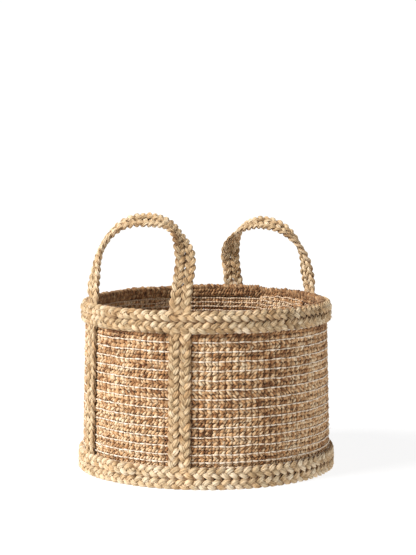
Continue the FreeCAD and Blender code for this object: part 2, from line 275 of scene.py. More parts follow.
class Nodes:
    """Short ways to add shader nodes and link them. Values may be sockets or numbers."""

    def __init__(self, name):
        self.material = bpy.data.materials.new(name)
        self.material.use_nodes = True
        self.tree = self.material.node_tree
        self.surface = self.tree.nodes["Principled BSDF"]

    def add(self, kind, **settings):
        """A new node with its settings."""
        node = self.tree.nodes.new(kind)
        for key, value in settings.items():
            setattr(node, key, value)
        return node

    def link(self, source, target):
        """Links an output to an input."""
        self.tree.links.new(source, target)

    def feed(self, sockets, values):
        """Links or sets each input socket, as its value asks."""
        for socket, value in zip(sockets, values):
            if isinstance(value, (int, float, tuple)):
                socket.default_value = value
            else:
                self.link(value, socket)

    def noise(self, vector, scale, detail):
        """Cloudy noise about 0.5."""
        node = self.add("ShaderNodeTexNoise")
        node.inputs["Scale"].default_value = scale
        node.inputs["Detail"].default_value = detail
        node.inputs["Roughness"].default_value = 0.6
        self.link(vector, node.inputs["Vector"])
        return node.outputs["Fac"]

    def stretched(self, vector, scale):
        """Coordinates multiplied axis by axis."""
        node = self.add("ShaderNodeMapping")
        node.inputs["Scale"].default_value = scale
        self.link(vector, node.inputs["Vector"])
        return node.outputs["Vector"]

    def math(self, operation, first, second):
        """One operation on two values."""
        node = self.add("ShaderNodeMath", operation=operation)
        self.feed(node.inputs, (first, second))
        return node.outputs[0]

    def ramp(self, factor, stops):
        """The colour at a factor between stops, which are places and colours."""
        node = self.add("ShaderNodeValToRGB")
        points = node.color_ramp.elements
        while len(points) < len(stops):
            points.new(0.5)
        for point, (place, colour) in zip(points, stops):
            point.position = place
            point.color = colour
        self.link(factor, node.inputs["Fac"])
        return node.outputs["Color"]

    def mix(self, blend, factor, first, second):
        """The first colour blended with the second by a factor."""
        node = self.add("ShaderNodeMix", data_type="RGBA", blend_type=blend)
        self.feed((node.inputs[0], node.inputs[6], node.inputs[7]), (factor, first, second))
        return node.outputs[2]


COARSE_STREAKS = (70, 480, 1)
FINE_STREAKS = (220, 2800, 1)
PATCH_STRETCH = (1, 1, 0.4)
WARM_TINT = srgb(255, 232, 205)


def yarn_material(name, stops, patch_scale, painted_shade_colour, patch_weight=0.5, roughness=0.9,
                  sheen=0.12, bump=0.8):
    """Fibrous yarn, coloured from its dark stop to its light one.

    Streaks along the fibres, soft patches and each strand's own shade choose the place between
    the stops. Painted shade: where the tone's depth value is low, between and behind strands,
    the colour is darkened towards the shade colour."""
    n = Nodes(name)
    fibre_uv = n.add("ShaderNodeUVMap", uv_map="fibre").outputs["UV"]
    place = n.add("ShaderNodeTexCoord").outputs["Object"]
    tone = n.add("ShaderNodeSeparateColor")
    n.link(n.add("ShaderNodeVertexColor", layer_name="tone").outputs["Color"], tone.inputs["Color"])
    shade, depth, hue = tone.outputs["Red"], tone.outputs["Green"], tone.outputs["Blue"]
    coarse = n.noise(n.stretched(fibre_uv, COARSE_STREAKS), 1.0, 4)
    fine = n.noise(n.stretched(fibre_uv, FINE_STREAKS), 1.0, 3)
    patches = n.noise(n.stretched(place, PATCH_STRETCH), patch_scale, 3)
    streaks = n.math("ADD", n.math("MULTIPLY", coarse, 0.6), n.math("MULTIPLY", fine, 0.4))
    factor = n.math("ADD", n.math("MULTIPLY", streaks, 1.5), n.math("MULTIPLY", patches, patch_weight))
    factor = n.math("ADD", factor, n.math("MULTIPLY", shade, 0.5))
    factor = n.math("SUBTRACT", factor, 0.5 + patch_weight / 2)
    colour = n.ramp(factor, stops)
    warm = n.mix("MULTIPLY", 1.0, colour, WARM_TINT)
    colour = n.mix("MIX", n.math("MULTIPLY", hue, 0.7), colour, warm)
    # painted shade: darken towards the shade colour where the tone's depth value is low
    shaded_colour = n.mix("MULTIPLY", 1.0, colour, painted_shade_colour)
    colour = n.mix("MIX", n.math("MULTIPLY", n.math("SUBTRACT", 1.0, depth), 0.85), colour, shaded_colour)
    n.link(colour, n.surface.inputs["Base Color"])
    n.surface.inputs["Roughness"].default_value = roughness
    n.surface.inputs["Sheen Weight"].default_value = sheen
    n.surface.inputs["Specular IOR Level"].default_value = 0.25
    relief = n.add("ShaderNodeBump")
    relief.inputs["Strength"].default_value = bump
    relief.inputs["Distance"].default_value = 0.4 * MM
    n.link(streaks, relief.inputs["Height"])
    n.link(relief.outputs["Normal"], n.surface.inputs["Normal"])
    return n.material


def make_braid_material():
    """Pale straw-coloured jute of the plaits."""
    stops = (
        (0.18, srgb(132, 104, 70)),
        (0.38, srgb(184, 157, 119)),
        (0.58, srgb(211, 188, 152)),
        (0.82, srgb(236, 219, 192)),
    )
    return yarn_material("braided_jute", stops, patch_scale=22, painted_shade_colour=srgb(148, 108, 66),
                         roughness=0.72)


def make_weave_material():
    """Reddish-tan jute of the woven wall and base, in strong patches."""
    stops = (
        (0.14, srgb(116, 78, 50)),
        (0.34, srgb(184, 141, 98)),
        (0.56, srgb(217, 183, 141)),
        (0.8, srgb(236, 216, 184)),
    )
    return yarn_material("woven_jute", stops, patch_scale=20, painted_shade_colour=srgb(90, 55, 30),
                         patch_weight=1.0, roughness=0.85, sheen=0.08)


def make_cotton_material():
    """Off-white cotton of the weft lines."""
    stops = (
        (0.2, srgb(212, 193, 170)),
        (0.5, srgb(231, 216, 196)),
        (0.8, srgb(244, 235, 221)),
    )
    return yarn_material("cotton_thread", stops, patch_scale=40, painted_shade_colour=srgb(150, 120, 90),
                         bump=0.3)


def make_warp_material():
    """Brown thread of the warp, the sewing and the hem."""
    stops = (
        (0.2, srgb(136, 100, 68)),
        (0.5, srgb(176, 140, 102)),
        (0.8, srgb(208, 178, 140)),
    )
    return yarn_material("warp_thread", stops, patch_scale=40, painted_shade_colour=srgb(110, 75, 45),
                         bump=0.3)


materials = {
    "braid": make_braid_material(),
    "weave": make_weave_material(),
    "cotton": make_cotton_material(),
    "warp": make_warp_material(),
}

# ------------------------------------------------------------------ plaits

# a strand's half size is a share of the plait's, and it is a bundle of thinner fibre yarns
STRANDS = 3
STRAND_SIDES = 30
STRAND_ACROSS = 0.4
STRAND_OUT = 0.56
BUNDLE_YARNS = 5
BUNDLE_DEPTH = 0.4
BRAID_STEP = 1.3 * MM
ZIGZAG_SHARPNESS = 0.8


def zigzag(place):
    """A rounded to-and-fro between -1 and 1, with straight crossings."""
    return np.arcsin(ZIGZAG_SHARPNESS * np.sin(place)) / math.asin(ZIGZAG_SHARPNESS)


def braid_turns(along, period, closed):
    """The angle that a strand has gone through at each distance: one turn is once to and fro."""
    step = np.append(np.diff(along), along[-1] - along[-2])
    turns = np.cumsum(step / period) * TURN
    turns -= turns[0]
    if closed:
        whole = round(turns[-1] / TURN)
        turns = np.arange(len(along)) / len(along) * whole * TURN
    return turns


def rounded_end(along, taper):
    """Share of full size at each distance: 1, then falling off like a circle over the last taper."""
    left = np.clip((along[-1] - along) / taper, 0, 1)
    return np.sqrt(np.clip(1 - (1 - left) ** 2, 0.02, 1))


def add_braid(mesh, along, centres, normals, half_width, half_thick, period, phase, closed=False,
              taper_end=0.0, bounce_lightening=0.0):
    """Three strands plaited flat about a line.

    normals point out of the plait's face. Sizes and period, the length in which a strand goes to
    and fro once, are given per centre. Its last argument lightens the whole plait as painted
    bounce light, standing in for light thrown up from the floor."""
    tangents = headings(centres, closed, along)
    normals = unit(normals - tangents * np.sum(normals * tangents, axis=1, keepdims=True))
    widths = np.cross(tangents, normals)
    turns = braid_turns(along, period, closed)
    ends = rounded_end(along, taper_end) if taper_end else np.ones_like(along)
    strand_across = half_width * STRAND_ACROSS
    strand_out = half_thick * STRAND_OUT
    swing = half_width - strand_across
    lift = half_thick - strand_out
    for strand in range(STRANDS):
        place = turns + phase + strand * TURN / STRANDS
        wobble = wander(along, 50 * MM, 0.12)
        sideways = swing * ends * zigzag(place + wobble * 0.6)
        height = lift * np.sin(2 * place)
        path = centres + widths * sideways[:, None] + normals * height[:, None]
        heading = headings(path, closed, along)
        across = unit(np.cross(normals, heading))
        out = np.cross(heading, across)
        on_top = 0.5 + 0.5 * np.sin(2 * place)
        fat = (1 + wander(along, 20 * MM, 0.09)) * ends
        wide = strand_across * fat * (0.95 + 0.12 * on_top)
        thick = strand_out * fat
        # painted shade: a strand's face is darker where it passes under the others, its back where it
        # lies over them
        depth = np.clip(0.1 + on_top, 0, 1)
        painted_back_shade = np.clip(1.4 - on_top, 0, 1)
        # the shade varies at random along each strand; the lightening argument adds painted bounce
        # light
        shade = np.clip(0.5 + bounce_lightening + wander(along, 20 * MM, 0.3) + rng.normal(0, 0.04), 0, 1)
        hue = np.clip(0.3 + wander(along, 70 * MM, 0.4), 0, 1)
        tone = np.stack([shade, depth, hue], axis=1)
        bundle_turn = rng.uniform(0.07, 0.14) * rng.choice((-1, 1))
        mesh.add_tube(path, across, out, wide, thick, STRAND_SIDES, tone, closed=closed,
                      lobes=BUNDLE_YARNS, lobe_depth=BUNDLE_DEPTH, lobe_turn=bundle_turn,
                      painted_back_shade=painted_back_shade)


# ------------------------------------------------------------------ rim and base bands

BAND_HALF_THICK = 4.6 * MM
BAND_INSET = 1.2 * MM
BAND_SWELL = 1.02

# where the base band's upper plait and the rim end, and how the base one's end lies over its start
BASE_LAP = math.radians(187)
RIM_LAP = math.radians(7)
LAP_REACH = 0.16
LAP_OUT = 4.0 * MM
LAP_IN = 2.0 * MM
LAP_TAPER = 10 * MM

# the rim is a little higher where it ends, and the cloth and the plait each dip on one side of it
STEP_HEIGHT = 2.6 * MM
STEP_RISE = math.radians(2)
STEP_FADE = math.radians(60)
HIGH_SIDE = math.radians(38)
PLAIT_DIP = 2.2 * MM
CLOTH_DIP = 4.4 * MM


def rim_step(angle):
    """How much higher the rim stands at an angle: its closing end overlaps there, then sinks away."""
    past = (angle - RIM_LAP) % TURN
    return STEP_HEIGHT * smoothstep(past / STEP_RISE) * (1 - smoothstep(past / STEP_FADE))


def far_side(angle):
    """1 on the side of the rim where the woven strip stands above the plait, 0 opposite."""
    return (1 + np.cos(angle - HIGH_SIDE)) / 2


def ring_angles(radius, lap_angle):
    """Angles along a ring plait: one whole turn, or a little more where its ends lap."""
    if lap_angle is None:
        count = int(TURN * radius / BRAID_STEP)
        return np.arange(count) / count * TURN
    count = int((TURN + LAP_REACH) * radius / BRAID_STEP)
    return np.linspace(lap_angle - TURN - LAP_REACH, lap_angle, count)


def lap_shift(angle, lap_angle):
    """How far outward a lapped plait moves: out over its own start, and inward at that start."""
    over = smoothstep((angle - (lap_angle - 2.2 * LAP_REACH)) / (1.5 * LAP_REACH))
    under = np.clip((lap_angle - TURN + LAP_REACH - angle) / (1.5 * LAP_REACH), 0, 1)
    return LAP_OUT * over - LAP_IN * under


def make_ring_braid(node, tilt_deg, leaf, spread, bounce_lightening=0.0, lap_angle=None, on_edge=False):
    """One row of plait round the wall, its face tilted up.

    leaf is the length of one of its leaves, and spread its width against the node's. With
    lap_angle, its end lies over its start there. With on_edge, it follows the wall's upper edge."""
    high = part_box(node)[1]
    # the lowest plait's node is cut off flat at the foot, so the row above it gives its height
    tall_low, tall_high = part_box("base_upper_plait" if node == "base_lower_plait" else node)
    half_tall = (tall_high.z - tall_low.z) / 2
    radius = high.x - BAND_HALF_THICK - BAND_INSET
    angle = ring_angles(radius, lap_angle)
    along = (angle - angle[0]) * radius
    height = high.z - half_tall + wander(along, 120 * MM, 0.35 * MM)
    if on_edge:
        height = height + rim_step(angle) - PLAIT_DIP * far_side(angle)
    shift = np.zeros_like(angle) if lap_angle is None else lap_shift(angle, lap_angle)
    centres = radials(angle) * (radius + shift)[:, None] + UP * height[:, None]
    tilt = math.radians(tilt_deg)
    normals = radials(angle) * math.cos(tilt) + UP * math.sin(tilt)
    full = np.ones_like(along)
    mesh = YarnMesh()
    half_thick = full * BAND_HALF_THICK * BAND_SWELL
    add_braid(mesh, along, centres, normals, full * half_tall * spread, half_thick,
              full * leaf * STRANDS, rng.random() * TURN, closed=lap_angle is None,
              taper_end=0.0 if lap_angle is None else LAP_TAPER, bounce_lightening=bounce_lightening)
    finish_piece(mesh, "braid_" + node, "braid", "braided_jute", node)


# ------------------------------------------------------------------ straps and handle loops

LOOPS = {
    # the straight leg, the shoulder and crown radii, and how far the strap's face has rolled over
    # from the loop's own plane (degrees) at a share of the way from the front foot to the back one
    "left": {"straight": 48 * MM, "shoulder": 68 * MM, "crown": 150 * MM,
             "roll": {0: 27, 0.12: 28, 0.2: 58, 0.3: 98, 0.4: 64, 0.46: 45, 0.53: 42, 0.62: 40,
                      0.7: 44, 0.8: 46, 0.9: 33, 1: 17}},
    "right": {"straight": 33 * MM, "shoulder": 67 * MM, "crown": 87 * MM,
              "roll": {0: 15, 0.1: 26, 0.2: 48, 0.27: 72, 0.35: 87, 0.42: 101, 0.57: 115,
                       0.65: 105, 0.72: 101, 0.8: 67, 0.9: 31, 1: 24}},
}
LEAN = math.radians(13.5)
CORD_RADIUS = 6.75 * MM
CORD_STEP = 6.85 * MM
STRAP_STEP = 1.5 * MM
STRAP_FOOT = 3 * MM
STRAP_STAND = 3.6 * MM
PRESSED_IN = 2.1 * MM
PRESSED_FLAT = 0.55
BAND_EASE = 6 * MM
LOOP_START = 14 * MM
ROLL_WINDOW = 13

# the two plaits of a strap, first on the wall, then in the loop
STRAP_HALF_GAP = (7.8 * MM, 7.0 * MM)
STRAP_HALF_WIDTH = (8.7 * MM, 8.2 * MM)
STRAP_HALF_THICK = (3.5 * MM, 4.6 * MM)
STRAP_LEAF = (11.8 * MM, 10.8 * MM)


def arc(centre_x, centre_y, radius, begin, end, count):
    """Points of an arc in a handle's own plane."""
    angle = np.linspace(begin, end, count)
    return np.stack([centre_x + radius * np.cos(angle), centre_y + radius * np.sin(angle)], axis=1)


def loop_outline(half_chord, straight, shoulder, crown):
    """A handle's middle line in its own plane, from the foot at -half_chord to the other foot."""
    turn = math.asin((half_chord - shoulder) / (crown - shoulder))
    middle = straight - (crown - shoulder) * math.cos(turn)
    quarter = TURN / 4
    return np.vstack([
        [[-half_chord, 0.0]],
        arc(shoulder - half_chord, straight, shoulder, 2 * quarter, quarter + turn, 40),
        arc(0, middle, crown, quarter + turn, quarter - turn, 24)[1:],
        arc(half_chord - shoulder, straight, shoulder, quarter - turn, 0, 40)[1:],
        [[half_chord, 0.0]],
    ])


def loop_part(side, half_chord):
    """Points and face normals of the strap round one handle, in the loop's leaning plane."""
    shape = LOOPS[side]
    hinge = np.array(HINGES[f"{side}_handle"])
    outward = np.array([math.copysign(1, hinge[0]), 0, 0])
    _, flat = resample(loop_outline(half_chord, shape["straight"], shape["shoulder"], shape["crown"]),
                       STRAP_STEP)
    flat = flat[flat[:, 1] > LOOP_START]
    lean_out = outward * math.cos(LEAN) + UP * math.sin(LEAN)
    lean_up = -outward * math.sin(LEAN) + UP * math.cos(LEAN)
    chord = np.array([0, 1, 0])
    points = hinge + np.outer(flat[:, 0], chord) + np.outer(flat[:, 1], lean_up)
    tangent = headings(flat)
    away = np.outer(-tangent[:, 1], chord) + np.outer(tangent[:, 0], lean_up)
    share = np.linspace(0, 1, len(flat))
    roll = np.radians(np.interp(share, list(shape["roll"]), list(shape["roll"].values())))
    padded = np.pad(roll, ROLL_WINDOW // 2, mode="edge")
    roll = np.convolve(padded, np.ones(ROLL_WINDOW) / ROLL_WINDOW, mode="valid")[:, None]
    return points, lean_out * np.cos(roll) + away * np.sin(roll)


def leg_part(angle):
    """The strap up the wall at an angle: points, face normals and how flat the bands press it."""
    heights = np.arange(STRAP_FOOT, RIM_TOP, STRAP_STEP)
    under_base = smoothstep((BASE_BAND_HIGH + 1 * MM - heights) / BAND_EASE)
    under_rim = smoothstep((heights - RIM_BAND_LOW + 1 * MM) / BAND_EASE)
    pressed = np.maximum(under_base, under_rim)
    radial = np.array([math.cos(angle), math.sin(angle), 0])
    stand = STRAP_STAND - PRESSED_IN * pressed
    points = np.outer(wall_radius(heights) + stand, radial) + np.outer(heights, UP)
    return points, np.tile(radial, (len(heights), 1)), pressed


def strap_line(side):
    """The whole strap of one side: up the front of the wall, round the loop and down the back.

    Gives distances, points, face normals, how much each point belongs to the loop (0 wall,
    1 loop), and how flat a band presses it there (0 free, 1 pressed)."""
    half_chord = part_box(f"{side}_handle_outer_plait")[1].y - CORD_RADIUS - CORD_STEP
    span = math.atan2(half_chord, abs(HINGES[f"{side}_handle"][0]))
    front_angle, back_angle = (-span, span) if side == "right" else (math.pi + span, math.pi - span)
    front, front_normals, front_press = leg_part(front_angle)
    back, back_normals, back_press = leg_part(back_angle)
    loop, loop_normals = loop_part(side, half_chord)
    points = np.vstack([front, loop, back[::-1]])
    normals = np.vstack([front_normals, loop_normals, back_normals[::-1]])
    is_loop = np.concatenate([np.zeros(len(front)), np.ones(len(loop)), np.zeros(len(back))])
    press = np.concatenate([front_press, np.zeros(len(loop)), back_press[::-1]])
    along, points, normals, is_loop, press = resample(points, BRAID_STEP, normals, is_loop, press)
    return along, soften(points), unit(soften(normals)), soften(is_loop), soften(press)


def along_strap(sizes, is_loop):
    """A size along the strap, given on the wall and in the loop."""
    on_wall, in_loop = sizes
    return on_wall + (in_loop - on_wall) * is_loop


def make_strap(side):
    """Both plaits of one side's strap, each a single braid from the foot over the handle and back."""
    along, points, normals, is_loop, press = strap_line(side)
    widths = unit(np.cross(headings(points, along=along), normals))
    outer_side = 1 if side == "left" else -1
    half_width = along_strap(STRAP_HALF_WIDTH, is_loop)
    half_thick = along_strap(STRAP_HALF_THICK, is_loop) * (1 - PRESSED_FLAT * press)
    for name, sign in (("outer", outer_side), ("inner", -outer_side)):
        centres = points + widths * (sign * along_strap(STRAP_HALF_GAP, is_loop))[:, None]
        leaf = along_strap(STRAP_LEAF, is_loop) * (1 + wander(along, 120 * MM, 0.1))
        mesh = YarnMesh()
        add_braid(mesh, distances(centres), centres, normals, half_width, half_thick, leaf * STRANDS,
                  rng.random() * TURN)
        piece = mesh.build(f"braid_{side}_{name}", materials["braid"])
        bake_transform(piece)
        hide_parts(f"{side}_handle_{name}_plait", f"{side}_front_strap_{name}_plait",
                    f"{side}_back_strap_{name}_plait")


# ------------------------------------------------------------------ yarns of the weave

WARPS = 119
WARP_SPACING = 9.4 * MM
WHITE_PITCH = 13.2 * MM
YARN_STEP = 1.15 * MM
PLY_SIDES = 6
PLY_RADIUS = 2.05 * MM
PLY_OFFSET = 2.2 * MM
PINCH_GRIP = 0.3
PINCH_SINK = 1.5 * MM
COTTON_DIP = 2.3 * MM
THREAD_SIDES = 6
THREAD_STEP = 1.45 * MM


def white_heights():
    """Heights of the cotton weft lines: even, but closing up towards the foot."""
    heights = [BASE_BAND_HIGH - 1 * MM]
    row = 0
    while heights[-1] < WALL_HIGH - WHITE_PITCH:
        heights.append(heights[-1] + WHITE_PITCH * (1 - 0.42 * math.exp(-row / 1.3)))
        row += 1
    below = []
    height = heights[0]
    while height > WALL_LOW + 8 * MM:
        height -= WHITE_PITCH * 0.75
        below.append(height)
    return below[::-1] + heights


def pinch_at(angle, columns, sharp=5):
    """1 where a warp thread crosses, 0 between two of them."""
    return ((1 + np.cos(columns * angle)) / 2) ** sharp


def circle_frames(radius, height, step, begin, end):
    """Points, outward and up directions along an arc round the axis, and each point's angle."""
    whole = abs(end - begin - TURN) < 1e-9
    count = int((end - begin) * radius / step)
    angle = begin + np.arange(count) / (count if whole else count - 1) * (end - begin)
    out = radials(angle)
    line = out * radius
    line[:, 2] = height
    return angle, line, out, np.tile(UP, (count, 1))


def add_ply_yarn(mesh, line, out, up, along, ply_radius, ply_offset, turn_length, pinch, handed,
                 patch=0.0, closed=True):
    """A yarn of two plies twisted together, pinched where the warp threads hold it."""
    drift = wander(along, 40 * MM, 0.6)
    twist = handed * TURN * along / turn_length + drift + rng.random() * TURN
    for ply in (0, math.pi):
        fat = 1.04 + wander(along, 9 * MM, 0.26)
        grip = 1 - PINCH_GRIP * pinch
        radius = ply_radius * fat * grip
        offset = ply_offset * grip * (1 + wander(along, 20 * MM, 0.12))
        path = line + out * (offset * np.cos(twist + ply) - PINCH_SINK * pinch)[:, None]
        path = path + up * (offset * np.sin(twist + ply))[:, None]
        heading = headings(path, closed)
        across = unit(np.cross(out, heading))
        front = 0.5 + 0.5 * np.cos(twist + ply)
        # painted shade: darker where a warp pinches the yarn and where the ply turns to the back
        depth = np.clip(1.05 - 0.95 * pinch - 0.8 * (1 - front) ** 1.5, 0, 1)
        painted_back_shade = np.clip(1.05 - 0.95 * pinch - 0.8 * front ** 1.5, 0, 1)
        shade = 0.5 + wander(along, 7 * MM, 0.5) + wander(along, 50 * MM, 0.1) + patch
        hue = 0.45 + wander(along, 12 * MM, 0.4) + wander(along, 90 * MM, 0.15)
        tone = np.stack([np.clip(shade, 0, 1), depth, np.clip(hue, 0, 1)], axis=1)
        mesh.add_tube(path, across, np.cross(heading, across), radius, radius, PLY_SIDES, tone,
                      closed=closed, painted_back_shade=painted_back_shade)


def add_jute_row(mesh, height, size, inset, begin=0.0, end=TURN, shade=0.0):
    """One row of jute yarn round the wall, its middle inset from the wall's outside."""
    radius = float(wall_radius(height)) - inset
    whole = end - begin > TURN - 1e-6
    angle, line, out, up = circle_frames(radius, height, YARN_STEP, begin, end)
    along = (angle - begin) * radius
    line[:, 2] += wander(along, 80 * MM, 0.35 * MM)
    if height > WALL_HIGH - WHITE_PITCH:
        line[:, 2] += rim_step(angle) - CLOTH_DIP * (1 - far_side(angle))
    pinch = pinch_at(angle, WARPS) * np.clip(0.85 + wander(along, 30 * MM, 0.3), 0.3, 1)
    turn_length = TURN * radius / round(WARPS * rng.uniform(0.85, 1.05))
    growth = size ** 0.7
    handed = 1 if rng.random() < 0.7 else -1
    add_ply_yarn(mesh, line, out, up, along, PLY_RADIUS * growth, PLY_OFFSET * growth, turn_length,
                 pinch, handed, patch=shade + rng.normal(0, 0.03), closed=whole)


def add_cotton_row(mesh, height, stand, size, dips, begin=0.0, end=TURN, sway=0.4 * MM, warm=0.3):
    """One cotton weft line, standing off the wall's outside and dipping so often per warp."""
    facing = 1 if stand > -1 * MM else -1
    radius = float(wall_radius(height))
    whole = end - begin > TURN - 1e-6
    angle, line, out, up = circle_frames(radius, height, THREAD_STEP, begin, end)
    along = (angle - begin) * radius
    dip = pinch_at(angle, dips * WARPS, sharp=6 / dips ** 2)
    line += out * (stand - facing * COTTON_DIP * dip + wander(along, 20 * MM, 0.25 * MM))[:, None]
    line[:, 2] += wander(along, 60 * MM, sway) + wander(along, 15 * MM, 0.6 * sway)
    width = size * np.clip(1 + wander(along, 20 * MM, 0.25), 0.5, 1.5)
    shade = np.clip(0.6 + wander(along, 20 * MM, 0.35), 0, 1)
    # painted shade where the thread dips in among the jute
    tone = np.stack([shade, np.clip(1.15 - dip, 0, 1), np.full_like(along, warm)], axis=1)
    mesh.add_tube(line, up, out, width, width * 0.8, THREAD_SIDES, tone, closed=whole)


def add_warp(mesh, column, whites):
    """One upright warp thread, rising over each cotton line and sinking between them."""
    angle = (column + rng.normal(0, 0.03)) * TURN / WARPS
    heights = np.arange(min(whites) - 5 * MM, max(whites) + 4 * MM, 1.6 * MM)
    radial = np.array([math.cos(angle), math.sin(angle), 0])
    tangent = np.array([-math.sin(angle), math.cos(angle), 0])
    nearest = np.min(np.abs(heights[:, None] - np.array(whites)[None, :]), axis=1)
    bump = np.exp(-((nearest / (1.7 * MM)) ** 2))
    stand = -2.0 * MM + 1.5 * MM * bump
    sway = wander(heights, 30 * MM, 0.4 * MM)
    line = np.outer(wall_radius(heights) + stand, radial) + np.outer(sway, tangent)
    line[:, 2] += heights
    size = 0.6 * MM * np.clip(1 + wander(heights, 20 * MM, 0.2), 0.6, 1.4)
    shade = np.clip(0.5 + wander(heights, 30 * MM, 0.3), 0, 1)
    # painted shade where the warp sinks between the cotton lines
    tone = np.stack([shade, 0.25 + 0.65 * bump, np.full_like(heights, 0.4)], axis=1)
    across = np.tile(tangent, (len(heights), 1))
    out = np.tile(radial, (len(heights), 1))
    mesh.add_tube(line, across, out, size, size, THREAD_SIDES, tone)


# ------------------------------------------------------------------ wall and base

WALL_GROUPS = 7
WALL_INSET = 3.0 * MM
HEM_ROWS = 3
HEM_PITCH = 4.9 * MM
HEM_BELOW_RIM = 1.7 * MM
BASE_PLY_RADIUS = 1.9 * MM
BASE_PLY_OFFSET = 1.35 * MM
SHORTEST_HALF_ROW = 24 * MM
LAP_BEGIN = math.radians(-24)
LAP_END = math.radians(7.5)


def jute_rows():
    """Heights and sizes of the jute rows: two between each pair of cotton lines."""
    whites = white_heights()
    rows = [(whites[0] - 0.3 * WHITE_PITCH, 0.8)]
    for low, high in zip(whites, whites[1:]):
        gap = high - low
        rows.append((low + 0.27 * gap, gap / WHITE_PITCH))
        rows.append((low + 0.74 * gap, gap / WHITE_PITCH))
    edge = whites[-1] + 0.27 * WHITE_PITCH
    while edge < WALL_HIGH:
        rows.append((edge, 1.12))
        edge += 0.5 * WHITE_PITCH
    return rows


def make_wall():
    """The jute rows of the wall, in groups of rows. The rows right under the rim's band are darkened
    by painted shadow from the band.
    """
    rows = jute_rows()
    for group in range(WALL_GROUPS):
        mesh = YarnMesh()
        first, last = (step * len(rows) // WALL_GROUPS for step in (group, group + 1))
        for height, size in rows[first:last]:
            # painted shadow: the rim's band shades the rows just below it
            under_rim = abs(height - RIM_BAND_LOW + 1 * MM) < 3 * MM
            add_jute_row(mesh, height, size, WALL_INSET, shade=-0.6 if under_rim else 0.0)
        finish_piece(mesh, f"wall_jute_{group}", "weave", "woven_jute", "woven_wall")


def make_hem():
    """The turned-in upper edge of the wall, inside the rim's plait."""
    mesh = YarnMesh()
    for row in range(HEM_ROWS):
        height = RIM_TOP - HEM_BELOW_RIM - row * HEM_PITCH
        add_jute_row(mesh, height, size=1.15, inset=5.6 * MM, shade=-0.15)
    finish_piece(mesh, "wall_hem", "warp", "woven_jute", "woven_wall")


def make_wall_threads():
    """Cotton weft outside and inside, and the warp that crosses it, in two halves of each."""
    whites = white_heights()
    inner = sorted(whites + [(low + high) / 2 for low, high in zip(whites, whites[1:])])
    inner = [height for height in inner if height < WALL_HIGH - 8 * MM]
    for half in range(2):
        outside, inside, warp = YarnMesh(), YarnMesh(), YarnMesh()
        for height in whites[half::2]:
            add_cotton_row(outside, height, stand=0.9 * MM, size=1.02 * MM, dips=1)
        for height in inner[half::2]:
            # the inside lines are warmer: painted bounce light, as thrown back from the jute round
            # them
            add_cotton_row(inside, height, stand=-7.9 * MM, size=1.15 * MM, dips=2, warm=0.8)
        for column in range(half, WARPS, 2):
            add_warp(warp, column, whites)
        finish_piece(outside, f"wall_cotton_outside_{half}", "cotton", "cotton_thread")
        finish_piece(inside, f"wall_cotton_inside_{half}", "cotton", "cotton_thread")
        finish_piece(warp, f"wall_warp_{half}", "warp", "cotton_thread")


def make_lap():
    """The inner end of the woven strip, lying over its start inside the wall."""
    jute, cotton = YarnMesh(), YarnMesh()
    for height in np.arange(WALL_LOW + 12 * MM, WALL_HIGH - 9 * MM, WHITE_PITCH / 2):
        add_jute_row(jute, height, size=0.9, inset=8.2 * MM, begin=LAP_BEGIN,
                     end=LAP_END + rng.normal(0, 0.006))
        # the lap's cotton is warmer: painted bounce light, as thrown back from the jute round it
        add_cotton_row(cotton, height + WHITE_PITCH / 4, stand=-12 * MM, size=1 * MM, dips=2,
                       begin=LAP_BEGIN, end=LAP_END, sway=1 * MM, warm=0.8)
    finish_piece(jute, "wall_lap_jute", "weave", "woven_jute", "woven_wall")
    finish_piece(cotton, "wall_lap_cotton", "cotton", "cotton_thread")


def add_base_cotton(mesh, line, up, out, face, radius):
    """A cotton line beside a row of the base, on its upper (1) or lower (-1) face."""
    x = line[:, 0]
    dip = pinch_at(x, TURN / WARP_SPACING, sharp=3)
    thread = line + out * (face * (2.6 * MM - 2.0 * MM * dip))[:, None]
    thread[:, 1] += WHITE_PITCH / 4 + wander(x, 40 * MM, 0.3 * MM)
    inside = np.hypot(thread[:, 0], thread[:, 1]) < radius - 6 * MM
    if not inside.any():
        return
    size = np.full(len(x), 0.7 * MM)[inside]
    # painted shade where the thread dips between the rows
    tone = np.stack([np.full(len(x), 0.35), np.clip(1.05 - dip, 0, 1), np.full(len(x), 0.9)], axis=1)
    mesh.add_tube(thread[inside], up[inside], out[inside], size, size, THREAD_SIDES, tone[inside])


def make_base():
    """The woven disc: straight rows of the same yarn, cut to a circle."""
    low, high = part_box("woven_base")
    radius, height = high.x - 1 * MM, (low.z + high.z) / 2
    halves = (YarnMesh(), YarnMesh())
    cotton = YarnMesh()
    pitch = WHITE_PITCH / 2
    rows = int(radius / pitch)
    for row in range(-rows, rows + 1):
        y = row * pitch
        half = math.sqrt(max(radius ** 2 - y ** 2, 0))
        if half < SHORTEST_HALF_ROW:
            continue
        x = np.arange(-half, half, YARN_STEP)
        line = np.stack([x, np.full(len(x), y), np.full(len(x), height)], axis=1)
        out = np.tile(UP, (len(x), 1))
        up = np.tile([0.0, 1.0, 0.0], (len(x), 1))
        turn_length = WARP_SPACING * rng.uniform(0.95, 1.2)
        handed = 1 if rng.random() < 0.75 else -1
        pinch = pinch_at(x, TURN / WARP_SPACING)
        add_ply_yarn(halves[row > 0], line, out, up, x + half, BASE_PLY_RADIUS, BASE_PLY_OFFSET,
                     turn_length, pinch, handed, closed=False)
        if row % 2 == 0:
            for face in (1, -1):
                add_base_cotton(cotton, line, up, out, face, radius)
    for part, mesh in enumerate(halves):
        finish_piece(mesh, f"base_jute_{part}", "weave", "woven_jute", "woven_base")
    finish_piece(cotton, "base_cotton", "cotton", "cotton_thread")


# ------------------------------------------------------------------ sewing threads

